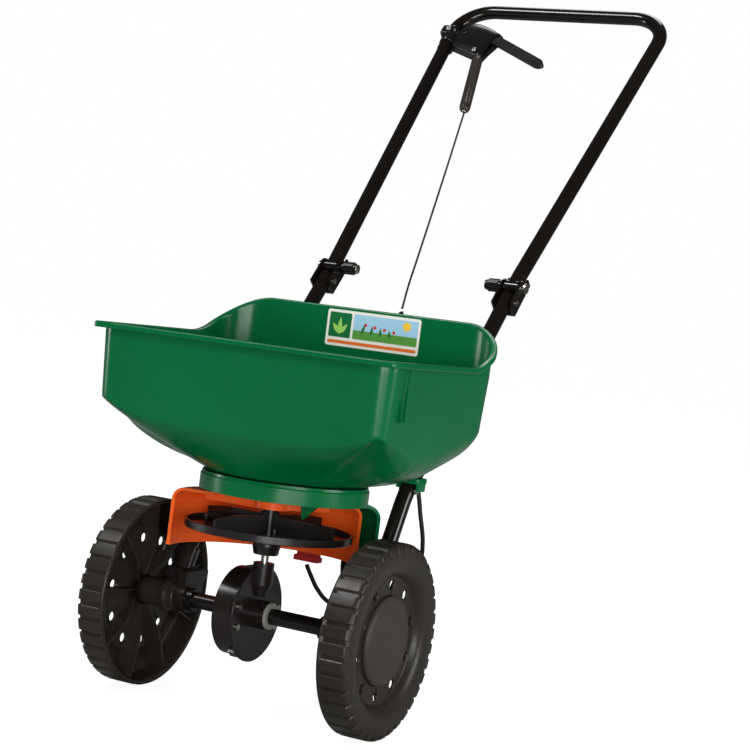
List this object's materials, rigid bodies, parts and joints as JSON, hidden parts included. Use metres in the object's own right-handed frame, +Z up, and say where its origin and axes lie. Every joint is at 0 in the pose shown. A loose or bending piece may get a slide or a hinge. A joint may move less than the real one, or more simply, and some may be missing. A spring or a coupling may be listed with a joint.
{
  "type": "broadcast spreader",
  "caption": "Push-along garden spreader with an open hopper, lugged wheels, geared spinner, turning edge shield and folding tube handle with a cable control.",
  "frame": {"origin": "ground level, under the middle of the whole object's box", "axes": "+X along the axle towards the operator's left, +Y back towards the operator, +Z up"},
  "size_m": [0.356, 0.7354, 0.8643],
  "materials": {
    "green_plastic": "moulded, slightly glossy",
    "gear_housing": "moulded, satin",
    "bright_steel": "zinc plated",
    "nylon": "natural nylon, satin",
    "gear_plastic": "acetal, satin",
    "frame_paint": "dark bronze powder coat, satin",
    "foot_rubber": "moulded rubber",
    "cable_sheath": "vinyl sheath",
    "wheel_plastic": "moulded, fine texture",
    "cap_plastic": "moulded, satin",
    "impeller_plastic": "moulded, satin",
    "red_plastic": "moulded, slightly glossy",
    "orange_plastic": "moulded, slightly glossy",
    "control_plastic": "moulded, satin"
  },
  "bodies": {
    "base": {"hopper": "green_plastic", "hopper_floor": "green_plastic", "rear_hood": "green_plastic", "gearbox_drum": "gear_housing", "gearbox_cover": "gear_housing", "gearbox_screws": "bright_steel", "axle_bushings": "nylon", "frame_tube_left": "frame_paint", "frame_tube_right": "frame_paint", "axle_bearing_left": "frame_paint", "axle_bearing_right": "frame_paint", "fold_bracket_left": "frame_paint", "fold_bracket_right": "frame_paint", "fold_bolts": "bright_steel", "bracket_rivets": "bright_steel", "frame_screws": "bright_steel", "stand_leg": "frame_paint", "stand_foot": "foot_rubber", "cable_conduit": "cable_sheath", "cable_stop": "green_plastic"},
    "drive": {"axle": "frame_paint", "drive_wheel": "wheel_plastic", "drive_hub": "wheel_plastic", "drive_cap": "cap_plastic", "crown_gear": "gear_plastic", "axle_collars": "frame_paint", "drive_pin": "bright_steel"},
    "free_side": {"free_wheel": "wheel_plastic", "free_hub": "wheel_plastic", "free_cap": "cap_plastic"},
    "spinner": {"pinion": "gear_plastic", "impeller_shaft": "bright_steel", "impeller": "impeller_plastic", "agitator": "impeller_plastic", "impeller_pin": "bright_steel"},
    "shutter": {"shutoff_plate": "red_plastic", "shutoff_arm": "red_plastic"},
    "shield": {"edge_shield": "orange_plastic"},
    "handle": {"handle_tube": "frame_paint", "handle_lugs": "frame_paint", "control_shell": "control_plastic", "control_back": "control_plastic", "control_screws": "bright_steel", "cable_guide": "control_plastic", "control_cable": "cable_sheath"},
    "lever": {"control_lever": "control_plastic"},
    "dial": {"rate_dial": "control_plastic"},
    "knob_left": {"fold_knob_left": "control_plastic"},
    "knob_right": {"fold_knob_right": "control_plastic"}
  },
  "joints": [
    {"name": "axle_spin", "type": "hinge", "parent": "base", "child": "drive", "pos_m": [0, -0.2588, 0.1016], "axis": [1, 0, 0], "continuous": true},
    {"name": "free_wheel_spin", "type": "hinge", "parent": "drive", "child": "free_side", "pos_m": [-0.144, -0.2588, 0.1016], "axis": [1, 0, 0], "continuous": true},
    {"name": "impeller_spin", "type": "hinge", "parent": "base", "child": "spinner", "pos_m": [0, -0.2588, 0.19], "axis": [0, 0, 1], "continuous": true},
    {"name": "shutter_slide", "type": "slide", "parent": "base", "child": "shutter", "axis": [0, 1, 0], "range_m": [0, 0.014]},
    {"name": "shield_turn", "type": "hinge", "parent": "base", "child": "shield", "pos_m": [0, -0.2588, 0.218], "axis": [0, 0, 1], "range_deg": [-36, 0]},
    {"name": "handle_fold", "type": "hinge", "parent": "base", "child": "handle", "pos_m": [0, 0.0255, 0.4805], "axis": [1, 0, 0], "range_deg": [0, 120]},
    {"name": "lever_squeeze", "type": "hinge", "parent": "handle", "child": "lever", "pos_m": [-0.084, 0.31962, 0.81177], "axis": [0, -0.7478, 0.6639], "range_deg": [0, 25], "stiffness_Nm_per_rad": 0.9, "springref_deg": -14.32},
    {"name": "dial_turn", "type": "hinge", "parent": "handle", "child": "dial", "pos_m": [-0.112, 0.32161, 0.81402], "axis": [0, -0.7478, 0.6639], "range_deg": [0, 270]},
    {"name": "knob_left_turn", "type": "hinge", "parent": "base", "child": "knob_left", "pos_m": [0.145, 0.0255, 0.4805], "axis": [1, 0, 0], "continuous": true},
    {"name": "knob_right_turn", "type": "hinge", "parent": "base", "child": "knob_right", "pos_m": [-0.145, 0.0255, 0.4805], "axis": [1, 0, 0], "continuous": true}
  ],
  "couplings": [
    {"joint": "impeller_spin", "follows": "axle_spin", "ratio": 5},
    {"joint": "shutter_slide", "follows": "lever_squeeze", "m_per_rad": 0.03208}
  ]
}
